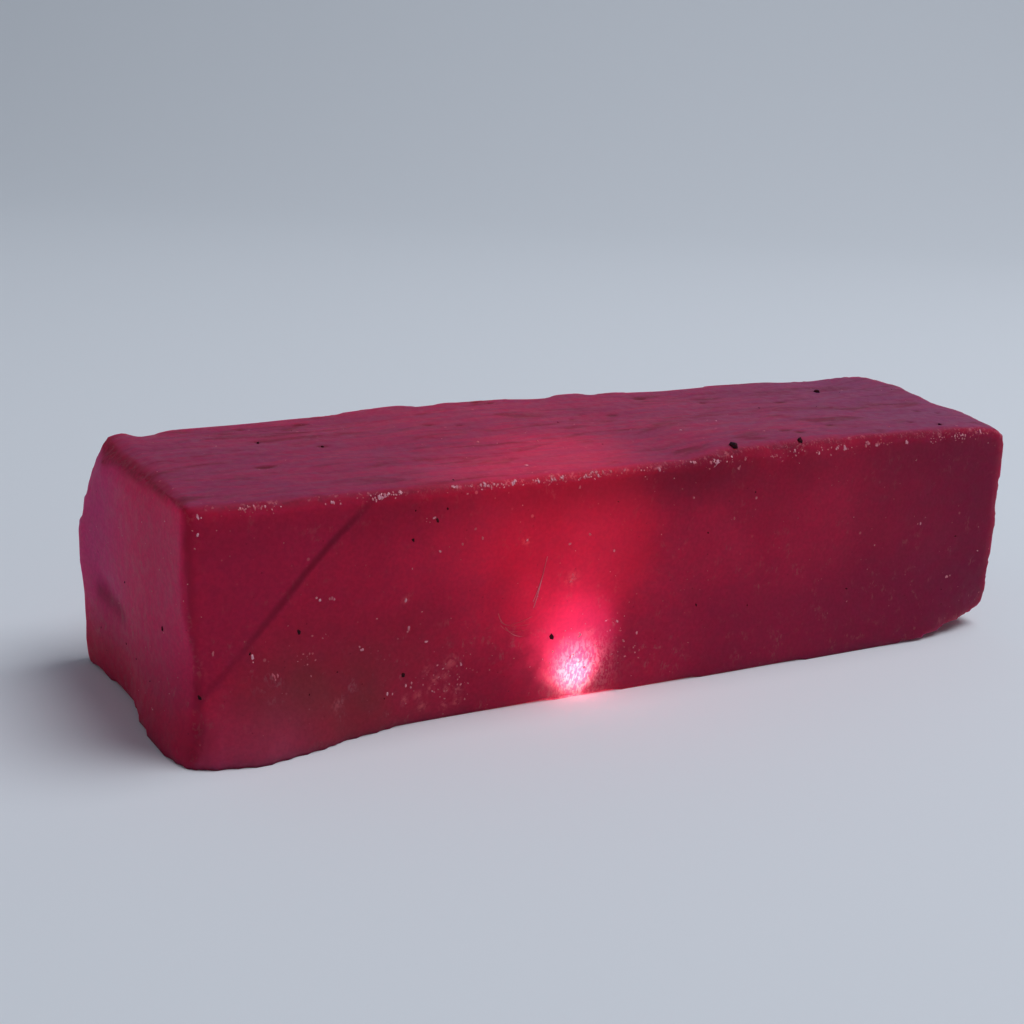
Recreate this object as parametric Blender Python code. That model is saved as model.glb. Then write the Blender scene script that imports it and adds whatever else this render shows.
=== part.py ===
# Rough ruby: one long bar of crystal with frosted faces and rounded, chipped edges.
# Metres, +Z up. +X runs along the bar, -Y is its front, and it rests flat on z = 0.
# The bar is shaped in millimetres, and scaled to metres when its mesh is made.

import math
import random

import bmesh
import bpy
from mathutils import Matrix, Vector, noise

# Driving dimensions of the squared bar, in millimetres
LENGTH = 107.2
WIDTH = 31.8
HEIGHT = 26.4
EDGE_RADIUS = 0.9
EDGE_SEGMENTS = 2
GRID_SPACING = 1.6
METRES_PER_MM = 0.001
SEED = 41

LEFT = -LENGTH / 2
RIGHT = LENGTH / 2
FRONT = -WIDTH / 2
BACK = WIDTH / 2

# Wandering edges, as (place along the edge, outward offset) in millimetres
TOE_OF_FRONT = [(-54, 1.3), (-50.5, 2.3), (-46.5, 3.2), (-41, 2.2), (-35, 0.5), (-29, -0.6),
                (-23, -0.7), (-16, -0.4), (-8, 0.0), (0, 0.2), (15, 0.7), (30, 1.1),
                (42, 1.3), (48, 0.6), (53, -0.3)]
RISE_OF_TOP_FRONT = [(-53, -0.1), (-47, -0.3), (-34, -0.4), (-16, -0.7), (3, -0.4),
                     (11, 0.4), (27, 0.5), (44, 0.3), (49, 0.0), (53, -0.5)]
REACH_OF_TOP_BACK = [(-53, -1.4), (-46, -1.2), (-40, -0.9), (-28, -0.2), (-15, 0.6), (-6, 0.9),
                     (8, 0.7), (19, -0.4), (36, 0.5), (45, -0.4), (53, -0.2)]
RISE_OF_TOP_BACK = [(-53, -0.5), (-48.5, -0.4), (-46.5, -0.3), (-28, -0.4), (-18, 0.1), (-6, 0.4),
                    (8, 0.1), (19, -0.4), (36, -0.1), (46, -0.5), (53, 0.0)]
SWELL_OF_LEFT_END = [(-15.5, -0.9), (-11, -0.5), (-8, -0.4), (-3, -0.4), (2, -0.7), (7, -0.5),
                     (12, 0.0), (15.5, 0.3)]
SWELL_OF_LEFT_FOOT = [(-15.5, 1.2), (-12, 1.5), (-8, 1.45), (-4, 1.1), (-1, 0.4), (3, 0.1),
                      (8, 0.05), (14, 0.0)]
SWELL_OF_LEFT_BACK = [(0, 0.0), (7, 0.1), (13, 0.8), (16, 0.9), (19, 0.6), (26, 0.4)]
SWELL_OF_RIGHT_END = [(-15.5, -1.0), (-12, -0.8), (-6, 0.1), (-2, 0.1), (2, 0.9), (7, 2.5),
                      (11, 2.1), (15.5, 0.9)]
EDGE_OF_RIGHT_FRONT = [(0, -0.3), (3, -0.1), (7, -0.1), (10.5, -0.2), (14, 0.35), (17, 0.55),
                       (19, 0.05), (21, 0.05), (23, 0.1), (26, -0.3)]
RISE_OF_RIGHT_FOOT = [(39.5, 0.0), (43.7, 0.7), (47.0, 1.45), (50.5, 1.85), (53.5, 2.6)]
RISE_FADES_OUT_AT = 11.0

# Hewn facets, as (point on the facet, direction that it faces)
FACETS = [
    ((-51.8, 15.5, 24.8), (-1.0, 0.27, 0.34)),
    ((-52.9, 0.0, 25.3), (-0.72, 0.05, 0.69)),
    ((52.2, -15.5, 25.3), (0.50, -0.30, 0.80)),
    ((54.6, 12.5, 6.0), (0.80, 0.42, -0.22)),
    ((50.0, 15.9, 12.0), (0.30, 1.0, 0.10)),
    ((20.0, 15.4, 3.0), (0.05, 0.93, -0.36)),
]

# Dents and lumps, as (start, end, radius, depth), where a lump has a depth below zero
DENTS = [
    ((-53.8, 10.6, 11.6), (-53.8, 5.2, 9.2), 1.7, 0.7),
    ((-53.2, -15.5, 11.4), (-53.2, -15.5, 9.8), 2.6, 0.6),
    ((-47.6, 13.4, 26.2), (-46.8, 15.6, 25.4), 1.8, 0.7),
    ((-53.0, 14.0, 19.4), (-53.0, 15.6, 18.6), 1.8, 0.6),
    ((-38.5, 4.0, 26.4), (-36.2, 4.6, 26.4), 1.9, 0.22),
    ((-41.4, -5.2, 26.4), (-40.6, -5.0, 26.4), 1.8, 0.22),
    ((-24.0, 9.0, 26.4), (-17.0, 9.8, 26.4), 1.9, 0.22),
    ((-30.0, -2.0, 26.4), (-25.0, -1.6, 26.4), 1.8, 0.18),
    ((3.0, 3.0, 26.4), (9.0, 3.6, 26.4), 1.9, 0.2),
    ((24.0, 8.8, 26.4), (29.0, 8.2, 26.4), 1.9, 0.2),
    ((41.0, 6.4, 26.4), (42.6, 7.0, 26.4), 2.0, 0.25),
    ((38.0, -7.6, 26.4), (42.0, -7.0, 26.4), 1.9, 0.2),
    ((-36.0, -15.9, 4.6), (-30.0, -15.9, 6.2), 2.4, 0.18),
    ((-24.0, -15.9, 5.0), (-19.0, -15.9, 8.0), 2.4, 0.2),
    ((6.0, -15.9, 9.0), (9.0, -15.9, 12.0), 2.2, 0.15),
    ((31.0, -15.9, 14.0), (34.0, -15.9, 17.5), 2.6, 0.18),
    ((-54.0, -17.2, 0.5), (-54.0, -16.4, 8.0), 3.0, 0.5),
    ((-8.0, 15.9, 12.0), (12.0, 15.9, 15.5), 5.0, 0.8),
    ((24.0, 15.9, 20.0), (36.0, 15.9, 16.0), 3.6, 0.7),
    ((-34.0, 15.9, 17.0), (-24.0, 15.9, 20.0), 3.4, 0.6),
    ((54.8, -6.0, 9.0), (54.8, 4.0, 15.0), 4.2, 0.9),
    ((-51.0, 14.6, 26.0), (-50.4, 14.0, 26.0), 2.0, -0.3),
]

# Broken ledges, as (start of the line, its end, drop, width of the step), with the line's points
# as (place across the face, height): the face lies lower to the left of the line's direction
BACK_LEDGES = [
    ((56.0, 15.0), (-34.0, -2.0), 0.7, 3.0),
    ((-56.0, 21.0), (-38.0, 10.0), 0.7, 2.8),
]
RIGHT_LEDGES = [
    ((-4.0, 27.0), (3.0, -1.0), 0.8, 2.2),
    ((16.0, 18.0), (6.0, 27.0), -0.6, 2.4),
]
LEDGE_WOBBLE = 2.4
LEDGE_WAVELENGTH = 9.0

# Chips scooped out along the edges: how many on each edge, their least and their greatest depth
CHIPS = {"top_front": (22, 0.45, 0.85), "top_back": (20, 0.6, 1.4), "bottom_back": (14, 0.7, 1.45),
         "left": (12, 0.5, 1.0), "right": (14, 0.6, 1.4)}
CHIP_RADII = (2.4, 5.5)

# Broad unevenness of the faces, as (wavelength, height)
WAVES = [(19.0, 0.30), (7.5, 0.12), (3.8, 0.07)]

# Growth lines that run along the top
STREAK_HEIGHT = 0.16
STREAK_LENGTH = 34.0
STREAK_SPACING = 4.2

FOOT_TUCK = 0.2
FOOT_HEIGHT = 3.2
FLAT = 0.0001

RUBY_RED = (0.30, 0.010, 0.045, 1.0)
RUBY_ROUGHNESS = 0.48


def clear_objects():
    for old in list(bpy.data.objects):
        bpy.data.objects.remove(old, do_unlink=True)


def make_collection(name):
    collection = bpy.data.collections.new(name)
    bpy.context.scene.collection.children.link(collection)
    return collection


def make_material(name, colour, roughness):
    material = bpy.data.materials.new(name)
    material.use_nodes = True
    shader = material.node_tree.nodes["Principled BSDF"]
    shader.inputs["Base Color"].default_value = colour
    shader.inputs["Roughness"].default_value = roughness
    shader.inputs["Metallic"].default_value = 0.0
    material.diffuse_color = colour
    return material


def clamp(value, low=0.0, high=1.0):
    return max(low, min(high, value))


# A smooth step from 0 to 1 as the value goes from 0 to 1
def ease(value):
    part = clamp(value)
    return part * part * (3 - 2 * part)


def fade(distance, reach):
    return math.exp(-(distance / reach) ** 2)


# Smooth steps between the points of a wandering edge
def edge_offset(points, place):
    if place <= points[0][0]:
        return points[0][1]
    for (start, low), (end, high) in zip(points, points[1:]):
        if place <= end:
            return low + (high - low) * ease((place - start) / (end - start))
    return points[-1][1]


# The bar as a box with rounded edges, but for those of its base
def squared_bar():
    bar = bmesh.new()
    bmesh.ops.create_cube(bar, size=1.0)
    bmesh.ops.scale(bar, vec=(LENGTH, WIDTH, HEIGHT), verts=bar.verts)
    bmesh.ops.translate(bar, vec=(0, 0, HEIGHT / 2), verts=bar.verts)
    worn = [edge for edge in bar.edges if any(vertex.co.z > FLAT for vertex in edge.verts)]
    bmesh.ops.bevel(bar, geom=worn, offset=EDGE_RADIUS, segments=EDGE_SEGMENTS,
                    profile=0.5, affect="EDGES", clamp_overlap=True)
    return bar


# Even cuts across the flat faces, so that they can be shaped
def cut_grid(bar):
    spans = [(LEFT, RIGHT), (FRONT, BACK), (0.0, HEIGHT)]
    for axis, (low, high) in enumerate(spans):
        first = low + EDGE_RADIUS
        width = high - low - 2 * EDGE_RADIUS
        count = round(width / GRID_SPACING)
        for step in range(1, count):
            point = Vector((0, 0, 0))
            point[axis] = first + width * step / count
            normal = Vector((0, 0, 0))
            normal[axis] = 1
            everything = list(bar.verts) + list(bar.edges) + list(bar.faces)
            bmesh.ops.bisect_plane(bar, geom=everything, dist=FLAT, plane_co=point, plane_no=normal)


# The long wandering lines of the edges and ends
def wander(point):
    x, y, z = point
    near_left = fade(x - LEFT, 7.0)
    near_right = fade(RIGHT - x, 7.0)
    near_front = fade(y - FRONT, 6.0)
    near_back = fade(BACK - y, 6.0)
    near_top = fade(HEIGHT - z, 6.0)
    tuck = FOOT_TUCK * fade(z, 1.0)
    x_shift = -tuck * (x / RIGHT) ** 9
    x_shift -= edge_offset(SWELL_OF_LEFT_END, y) * near_left * fade(z - 4, 12)
    x_shift -= edge_offset(SWELL_OF_LEFT_BACK, z) * near_left * near_back
    x_shift -= edge_offset(SWELL_OF_LEFT_FOOT, y) * near_left * fade(z, 5.0)
    x_shift += edge_offset(SWELL_OF_RIGHT_END, y) * near_right * (0.45 + 0.55 * z / HEIGHT)
    x_shift += edge_offset(EDGE_OF_RIGHT_FRONT, z) * near_right * near_front
    y_shift = -tuck * (y / BACK) ** 5
    y_shift -= edge_offset(TOE_OF_FRONT, x) * near_front * fade(z, 6.5)
    y_shift += edge_offset(REACH_OF_TOP_BACK, x) * near_back * (0.3 + 0.7 * near_top)
    z_shift = edge_offset(RISE_OF_TOP_FRONT, x) * near_top * fade(y - FRONT, 12)
    z_shift += edge_offset(RISE_OF_TOP_BACK, x) * near_top * fade(BACK - y, 12)
    return Vector((x + x_shift, y + y_shift, z + z_shift))


# Broad waves all over, and lengthwise growth lines on the top
def ripple(point, outward):
    height = 0.0
    for order, (wavelength, amount) in enumerate(WAVES):
        height += amount * noise.noise(point / wavelength + Vector((9.1 * order, 4.7, SEED)))
    x, y, z = point
    streak = noise.noise(Vector((x / STREAK_LENGTH, y / STREAK_SPACING, SEED)))
    height += STREAK_HEIGHT * streak * clamp(outward.z)
    return point + outward * height


def distance_to_line(point, start, end):
    line = end - start
    part = (point - start).dot(line) / max(line.length_squared, 1e-9)
    return (point - start - line * clamp(part)).length


# Dents push the surface in, lumps push it out
def press_in(point, outward, dents):
    for start, end, radius, depth in dents:
        distance = distance_to_line(point, start, end)
        if distance < radius * 1.6:
            point = point - outward * depth * fade(distance, radius * 0.75)
    return point


# How much lower a face lies on one side of its ledges
def ledge_drop(across, up, ledges):
    drop = 0.0
    wobble = LEDGE_WOBBLE * noise.noise(Vector((across, up, SEED)) / LEDGE_WAVELENGTH)
    for start, end, depth, width in ledges:
        line = (Vector(end) - Vector(start)).normalized()
        aside = line.cross(Vector((across, up)) - Vector(start)) + wobble
        drop += depth * ease(aside / width + 0.5)
    return drop


def break_ledges(point, outward):
    x, y, z = point
    if outward.y > 0.5:
        point = point - Vector((0, ledge_drop(x, z, BACK_LEDGES), 0))
    if outward.x > 0.5:
        point = point - Vector((ledge_drop(y, z, RIGHT_LEDGES), 0, 0))
    return point


# A facet hews off all that stands beyond it
def hew(point):
    for place, facing in FACETS:
        direction = Vector(facing).normalized()
        beyond = (point - Vector(place)).dot(direction)
        if beyond > 0:
            point = point - direction * beyond
    return point


# Each chip is a ball, as (middle, radius), whose inside is scooped out of an edge
def make_chips():
    chance = random.Random(SEED)
    chips = []
    for edge, (count, shallow, deep) in CHIPS.items():
        for _ in range(count):
            along = chance.uniform(LEFT + 2, RIGHT - 2)
            up = chance.uniform(3, HEIGHT - 1)
            side = chance.choice((-1, 1))
            place, outward = {
                "top_front": ((along, FRONT, HEIGHT), (0, -1, 1)),
                "top_back": ((along, BACK, HEIGHT), (0, 1, 1)),
                "bottom_back": ((along, BACK, 0), (0, 1, -0.5)),
                "left": ((LEFT, side * BACK, up), (-1, side, 0)),
                "right": ((RIGHT + 0.6, side * BACK, up), (1, side, 0)),
            }[edge]
            radius = chance.uniform(*CHIP_RADII)
            depth = chance.uniform(shallow, deep)
            middle = Vector(place) + Vector(outward).normalized() * (radius - depth)
            chips.append((middle, radius))
    return chips


def scoop(point, chips):
    for middle, radius in chips:
        away = point - middle
        if 0 < away.length < radius:
            point = middle + away * (radius / away.length)
    return point


# Points on the base move only sideways, and more freely with their height above it
def shape_bar(bar):
    bar.normal_update()
    dents = [(Vector(start), Vector(end), radius, depth) for start, end, radius, depth in DENTS]
    chips = make_chips()
    normals = [vertex.normal.copy() for vertex in bar.verts]
    for vertex, normal in zip(list(bar.verts), normals):
        start = vertex.co.copy()
        freedom = clamp(start.z / FOOT_HEIGHT)
        outward = Vector((normal.x, normal.y, normal.z * freedom))
        shaped = wander(start)
        shaped = ripple(shaped, outward)
        shaped = break_ledges(shaped, outward)
        shaped = press_in(shaped, outward, dents)
        shaped.z = start.z + (shaped.z - start.z) * freedom
        shaped = hew(shaped)
        shaped = scoop(shaped, chips)
        rise = edge_offset(RISE_OF_RIGHT_FOOT, shaped.x) * clamp(1 - shaped.z / RISE_FADES_OUT_AT)
        vertex.co = (shaped.x, shaped.y, max(0.0, shaped.z) + rise)


# One flat face where the bar rests
def join_base(bar):
    base = [face for face in bar.faces if all(vertex.co.z < FLAT for vertex in face.verts)]
    bmesh.ops.dissolve_faces(bar, faces=base, use_verts=False)


# The origin is at the middle of the outline, on the base
def stand_on_origin(bar):
    lows = [min(vertex.co[axis] for vertex in bar.verts) for axis in range(3)]
    highs = [max(vertex.co[axis] for vertex in bar.verts) for axis in range(3)]
    middle = Vector(((lows[0] + highs[0]) / 2, (lows[1] + highs[1]) / 2, lows[2]))
    bmesh.ops.translate(bar, vec=-middle, verts=bar.verts)
    print("moved to the origin by, mm:", [round(-value, 3) for value in middle])


def make_ruby(collection, material):
    bar = squared_bar()
    cut_grid(bar)
    shape_bar(bar)
    join_base(bar)
    stand_on_origin(bar)
    bmesh.ops.transform(bar, matrix=Matrix.Scale(METRES_PER_MM, 4), verts=bar.verts)
    bmesh.ops.recalc_face_normals(bar, faces=bar.faces)
    mesh = bpy.data.meshes.new("ruby")
    bar.to_mesh(mesh)
    bar.free()
    mesh.shade_smooth()
    mesh.materials.append(material)
    ruby = bpy.data.objects.new("ruby", mesh)
    collection.objects.link(ruby)
    return ruby


def main():
    clear_objects()
    collection = make_collection("rough_ruby")
    material = make_material("frosted_ruby", RUBY_RED, RUBY_ROUGHNESS)
    make_ruby(collection, material)


main()
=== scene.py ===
import math
import random

import bpy
import numpy as np
from mathutils import Matrix, Vector, noise
from mathutils.bvhtree import BVHTree
from mathutils.geometry import interpolate_bezier


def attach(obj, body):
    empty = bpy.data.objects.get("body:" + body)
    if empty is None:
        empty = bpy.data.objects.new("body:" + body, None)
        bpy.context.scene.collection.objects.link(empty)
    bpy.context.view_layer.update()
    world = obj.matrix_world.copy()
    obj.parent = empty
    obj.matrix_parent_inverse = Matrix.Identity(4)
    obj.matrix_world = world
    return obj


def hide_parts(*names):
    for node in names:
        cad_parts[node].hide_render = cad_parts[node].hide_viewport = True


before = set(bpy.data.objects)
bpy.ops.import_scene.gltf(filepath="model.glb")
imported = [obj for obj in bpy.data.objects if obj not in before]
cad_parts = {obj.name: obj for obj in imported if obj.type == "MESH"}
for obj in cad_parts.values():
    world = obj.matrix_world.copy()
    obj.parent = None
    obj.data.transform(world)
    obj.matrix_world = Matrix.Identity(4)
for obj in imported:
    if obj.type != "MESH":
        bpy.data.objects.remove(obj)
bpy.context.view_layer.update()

mm = 0.001    # sizes and places below are in millimetres, in the stone's own frame


def srgbToLinear(hexColour):
    parts = [int(hexColour[i:i + 2], 16) / 255 for i in (1, 3, 5)]
    return tuple(p / 12.92 if p <= 0.04045 else ((p + 0.055) / 1.055) ** 2.4 for p in parts) + (1.0,)


# An input given as another node's output is linked, and any other is a plain value
def addNode(tree, kind, inputs=None, **settings):
    node = tree.nodes.new(kind)
    for name, value in settings.items():
        setattr(node, name, value)
    for socket, value in (inputs or {}).items():
        if isinstance(value, bpy.types.NodeSocket):
            tree.links.new(value, node.inputs[socket])
        else:
            node.inputs[socket].default_value = value
    return node


def vertexPlaces(mesh):
    places = np.empty(len(mesh.vertices) * 3)
    mesh.vertices.foreach_get("co", places)
    return places.reshape(-1, 3) / mm


def vertexNormals(mesh):
    normals = np.empty(len(mesh.vertices) * 3)
    mesh.vertex_normals.foreach_get("vector", normals)
    return normals.reshape(-1, 3)


def storePlaces(mesh, places):
    mesh.vertices.foreach_set("co", (places * mm).ravel())
    mesh.update()


def storeMask(mesh, name, values):
    layer = mesh.attributes.new(name, "FLOAT", "POINT")
    layer.data.foreach_set("value", np.clip(values, 0, 1).astype(np.float32))


# Smooth noise at each point, after the points are scaled
def noiseAt(points, scale, offset=0.0):
    scaled = points * np.asarray(scale, float) + offset
    return np.array([noise.noise(Vector(p)) for p in scaled])


def smoothStep(values, low, high):
    part = np.clip((values - low) / (high - low), 0, 1)
    return part * part * (3 - 2 * part)


# The stone: first its finer shape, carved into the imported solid, then how it takes the light
rubyStone = {
    "voxel": 0.41,            # size of the fine mesh's faces
    "weldReach": 0.01,
    "smoothRounds": 40,
    "edgeAngle": 9.0,         # degrees between neighbouring faces that count as an edge and stay crisp
    "smoothReach": 0.17,      # the farthest that smoothing moves a point
    "seed": 7,
    "grain": [(3.1, 0.012), (1.3, 0.005)],   # (wavelength, height) all over
    "streakSize": (22.0, 1.3, 9.0),          # growth lines on the top run along the bar
    "streakHeight": 0.04,
    "onTop": 0.6,             # spots that face up more than this get the top's scratches and pits
    "nickCount": 80,          # short open scratches along the growth lines
    "nickClear": (3, 6, 4, 3),               # how far they start from the left, right, front and back edges
    "nickLength": (0.6, 5.5),
    "nickTurn": 12.0,         # degrees that a scratch strays from the growth lines
    "nickBend": (0.12, 1.7),                 # how far it wavers to the side, and how fast
    "nickTaper": 0.6,
    "nickStrength": (0.2, 1),
    "nickWidth": 0.24,
    "nickDepth": 0.06,
    "topPits": [(-41.5, -3.3), (-38.3, 6.6), (-32.7, 2.3), (-37.9, 12.9), (-30.7, 13.0), (-17.7, 6.7),
                (-14.3, 5.6), (-7.1, 14.9), (-5.5, 14.1), (0.3, 4.7), (6.6, 5.6), (15.3, 12.4),
                (21.9, 8.1), (31.4, 4.6), (20.7, -9.6), (21.8, -10.9), (27.9, -9.1), (39.9, -10.1),
                (42.9, -12.0), (45.8, -4.9), (47.9, -6.5)],
    "topPitRadius": (0.3, 0.55),
    "topPitSquash": (0.4, 1.0),              # below 1, a pit is longer along the bar
    "topPitDepth": 0.12,
    "pitCount": 110,
    "pitRadius": (0.4, 0.8),
    "pitDepth": (0.02, 0.06),
    "chips": {                # how many, radius from and to, depth from and to, how pale the break is
        "topFront": (44, 0.5, 1.2, 0.04, 0.12, 1.0),
        "topBack": (150, 0.45, 1.1, 0.08, 0.32, 1.0),
        "ends": (60, 0.5, 1.3, 0.06, 0.24, 0.25),
    },
    "chipClear": 1,           # how far chips keep from the ends of an edge
    "chipSlice": 0.8,         # the edge's corner is looked for this near to a chip's place along it
    "uprightChips": 0.6,      # share of the ends' chips that are on the upright edges
    "endHalfWidth": 14,
    "footFade": 1.2,          # the fine relief fades out from this height down to the flat base
    "gouge": ((-54.3, 11.6, 9.6), (-53.7, 5.2, 8.8), 0.95),   # (start, end, radius) of the left end's scar
    "gougeShade": 0.6,
    "nickShade": 0.5,
    "smudges": [              # blots of pale dust on the front, as (along, height, radius)
        (-25.0, 6.5, 0.65), (-25.5, 5.1, 0.4), (-27.8, 6.0, 0.4), (-27.2, 3.8, 0.4), (-25.3, 3.5, 0.4),
        (-23.9, 3.1, 0.45), (-28.6, 3.3, 0.4), (-23.9, 1.8, 0.4), (-28.0, 1.9, 0.45), (-30.2, 3.1, 0.4),
        (-30.6, 14.2, 0.35), (-38.4, 4.3, 0.4), (-25.4, 1.5, 0.4), (-26.7, 4.8, 0.45), (-53.2, 9.3, 0.8),
        (-16.7, 18.9, 0.35), (-10.7, 14.0, 0.6), (-7.9, 7.5, 0.4), (-5.9, 5.1, 0.4),
    ],
    "squareTo": {             # how squarely a spot has to face a side to take its finish: (from, to)
        "top": (0.72, 0.97),
        "leftEnd": (0.72, 0.95),
        "rightEnd": (0.3, 0.75),
        "front": (0.6, 0.9),
        "edges": (0.05, 0.24),
        "upright": (0.6, 0.9),
    },
    "leftEndHeight": (2, 13),                # the left end's skin and painted sheen fade in over this height
    "uprightSpared": 0.6,     # the upright edges are less worn by this

    "colours": {
        "deepCrimson": "#be1c44",
        "crimson": "#d3234d",
        "beforeCrack": "#c2204c",
        "crackLine": "#6c0c22",
        # painted shade: duller, darker red low on the front's left
        "lowLeftShade": "#96383e",
        "dustBloom": "#b8606e",
        "roseDust": "#f47a86",
        "rimShadeAndGouge": "#8c1634",     # painted shade: dark band under the front's top edge; also the left end's gouge mark
        "endSkinSheen": "#e82a6a",     # frosted skin on the left end, lightened with painted sheen
        # more painted sheen, towards the left end's back
        "endMauveSheen": "#cc448c",
        # painted reflection of the sky on the toe, which tilts up
        "toeReflection": "#c65a7e",
        "topSkinSheen": "#94325a",   # painted sheen on the top's frosted skin
        "topGreySheen": "#804068",    # painted sheen, greyer towards the right end
        # painted shade low on the front; also darker towards the right end, and on it
        "dimCrimson": "#7c1840",
        "brownRed": "#701428",
        "wornEdge": "#741830",
        "freshChip": "#d87888",
        # painted light of the glow on single grains
        "paintedGlowGrain": "#e87c90",
    },
    "patterns": {             # (size of one blot in mm, detail, distortion, squeeze along x, y and z)
        "clouds": (14.3, 3.0, 0.0, (1.0, 1.0, 1.0)),     # cloudy zones as the crystal grew
        "wander": (9.1, 2.0, 0.0, (1.0, 1.0, 1.0)),      # bends the crack and lets the stain drift
        "patches": (5.0, 3.0, 0.3, (1.0, 1.0, 1.0)),     # patches that hold dust
        "mottle": (1.25, 4.0, 0.0, (1.0, 1.0, 1.0)),     # broken facets of the rough skin
        "speckle": (0.42, 4.0, 0.0, (1.0, 1.0, 1.0)),    # frosting, really 0.05 mm: as coarse as shows
        "dust": (1.3, 5.0, 0.3, (1.0, 1.0, 1.0)),        # clumps of dust
        "needles": (0.30, 3.0, 0.8, (1.0, 1.0, 0.5)),    # dust grains, really 0.05 mm: as coarse as shows
        "streaks": (1.3, 5.0, 0.9, (0.14, 1.0, 0.5)),    # growth lines, 9 mm long
        "scuffs": (2.4, 7.0, 0.8, (0.3, 1.0, 0.5)),      # scuffed places on the top
    },
    "specks": {"dot": 2.3, "pin": 0.8},      # from one embedded grain to the next, large and small
    "crackAcross": (0.7206, 0.0, -0.6933),   # which way the crack's plane faces
    "crackOffset": 42.66,     # how far the plane is from the middle of the stone's base
    "crackWander": 1.2,
    "coreMiddle": (-8.4, -13.6, 3.0),        # painted light: grains around here are coloured lighter, as if picked out by the glow
    "steps": {                # soft steps over a pattern, mask or place: (source, from, to, before, after)
        "cloudy": ("clouds", 0.35, 0.68, 0.0, 1.0),
        "leftOfCrack": ("crack", 0.0, 0.8, 0.8, 0.0),
        "onCrack": ("crackAway", 0.05, 0.65, 1.0, 0.0),
        "crackBreaks": ("wander", 0.3, 0.6, 0.3, 0.62),
        "crackFades": ("up", 3.0, 14.0, 0.2, 1.0),
        "lowLeftFrom": ("east", -54.0, -44.0, 0.0, 1.0),
        "lowLeftTo": ("east", -34.0, -18.0, 1.0, 0.0),
        "low": ("up", 6.0, 16.0, 1.0, 0.0),
        "lowLeftDrifts": ("wander", 0.3, 0.7, 0.3, 0.85),
        "endDrifts": ("north", -6.0, 8.0, 0.7, 0.9),
        "endFar": ("north", 0.0, 14.0, 0.0, 0.6),
        "toe": ("east", -46.0, -38.0, 0.35, 0.0),
        "toeLow": ("up", 0.0, 9.0, 1.0, 0.0),
        "rim": ("up", 19.0, 24.4, 0.0, 0.82),
        "rimFrom": ("east", -42.0, -8.0, 0.25, 1.0),
        "rimTo": ("east", 4.0, 16.0, 1.0, 0.4),
        "dustDense": ("dust", 0.52, 0.68, 0.0, 1.0),
        "dustPatches": ("patches", 0.46, 0.62, 0.06, 0.6),
        "dustLow": ("up", 2.0, 22.0, 1.0, 0.35),
        "skinDrifts": ("streaks", 0.36, 0.62, 0.64, 0.97),
        "right": ("east", 10.0, 50.0, 0.0, 0.55),
        "farRight": ("east", 14.0, 54.0, 0.0, 0.7),
        "scuffed": ("scuffs", 0.52, 0.70, 0.0, 0.65),
        "edgeGrain": ("speckle", 0.35, 0.6, 0.3, 0.8),
        "chipGrain": ("speckle", 0.48, 0.6, 0.0, 0.65),
        "smudgeGrain": ("speckle", 0.36, 0.6, 0.05, 0.55),
        "dotRound": ("dotAway", 0.05, 0.10, 1.0, 0.0),
        "dotSome": ("dotChoice", 0.80, 0.98, 0.0, 0.6),
        "coreNear": ("coreAway", 1.5, 6.0, 0.55, 0.0),
        "fineGrain": ("needles", 0.44, 0.60, 0.0, 1.0),
        "edgeDots": ("needles", 0.56, 0.64, 0.0, 0.4),
        "edgeDotsFrom": ("east", -34.0, -20.0, 0.0, 1.0),
        "upper": ("up", 14.0, 22.0, 0.0, 1.0),
        "pinpricks": ("pinAway", 0.06, 0.16, 1.0, 0.0),
        "palePins": ("pinChoice", 0.86, 0.96, 0.0, 0.4),
        "darkPins": ("pinChoice", 0.04, 0.16, 0.5, 0.0),
        "lowRight": ("east", -6.0, 12.0, 0.0, 0.5),
        "mottleShade": ("mottle", 0.3, 0.7, 0.96, 1.04),
        "speckleShade": ("speckle", 0.3, 0.7, 0.92, 1.07),
        "roughness": ("mottle", 0.3, 0.7, 0.56, 0.74),
    },
    "layers": [               # from the body up: each colour covers where all its steps and masks meet
        ("crimson", "cloudy"),
        ("beforeCrack", "leftOfCrack"),
        # painted shade, low on the front's left
        ("lowLeftShade", "lowLeftFrom", "lowLeftTo", "low", "front", "lowLeftDrifts"),
        # painted shade under the front's top edge
        ("rimShadeAndGouge", "front", "rim", "rimFrom", "rimTo"),
        # painted sheen on the left end's frosted skin
        ("endSkinSheen", "leftEnd", "endDrifts"),
        ("endMauveSheen", "leftEnd", "endFar"),
        # painted reflection of the sky on the toe
        ("toeReflection", "toe", "toeLow", "front"),
        # painted sheen on the top's frosted skin, greyer towards the right
        ("topSkinSheen", "top", "skinDrifts"),
        ("topGreySheen", "top", "right"),
        ("dimCrimson", "front", "farRight"),
        # painted shade: darker towards the foot
        ("dimCrimson", "front", "lowRight", "low"),
        ("dimCrimson", "rightEnd"),
        ("brownRed", "top", "scuffed"),
        ("dustBloom", "dustDense", "dustPatches", "dustLow", "fineGrain"),
        ("roseDust", "smudges", "front", "smudgeGrain"),
        ("wornEdge", "edges", "edgeGrain"),
        ("freshChip", "edges", "edgeDots", "edgeDotsFrom", "upper"),
        ("freshChip", "chipped", "chipGrain"),
        ("brownRed", "scars"),
        ("rimShadeAndGouge", "gouge"),
        ("crackLine", "onCrack", "crackBreaks", "crackFades", "front"),
        ("freshChip", "dotRound", "dotSome"),
        ("freshChip", "pinpricks", "palePins"),
        ("crackLine", "pinpricks", "darkPins"),
        # painted light of the glow on single grains
        ("paintedGlowGrain", "coreNear", "fineGrain"),
    ],
    "ridgeShare": 0.9,        # how much of the growth lines is in the bump, next to the mottle
    "bumpStrength": 0.22,
    "bumpHeight": 0.16,
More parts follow.
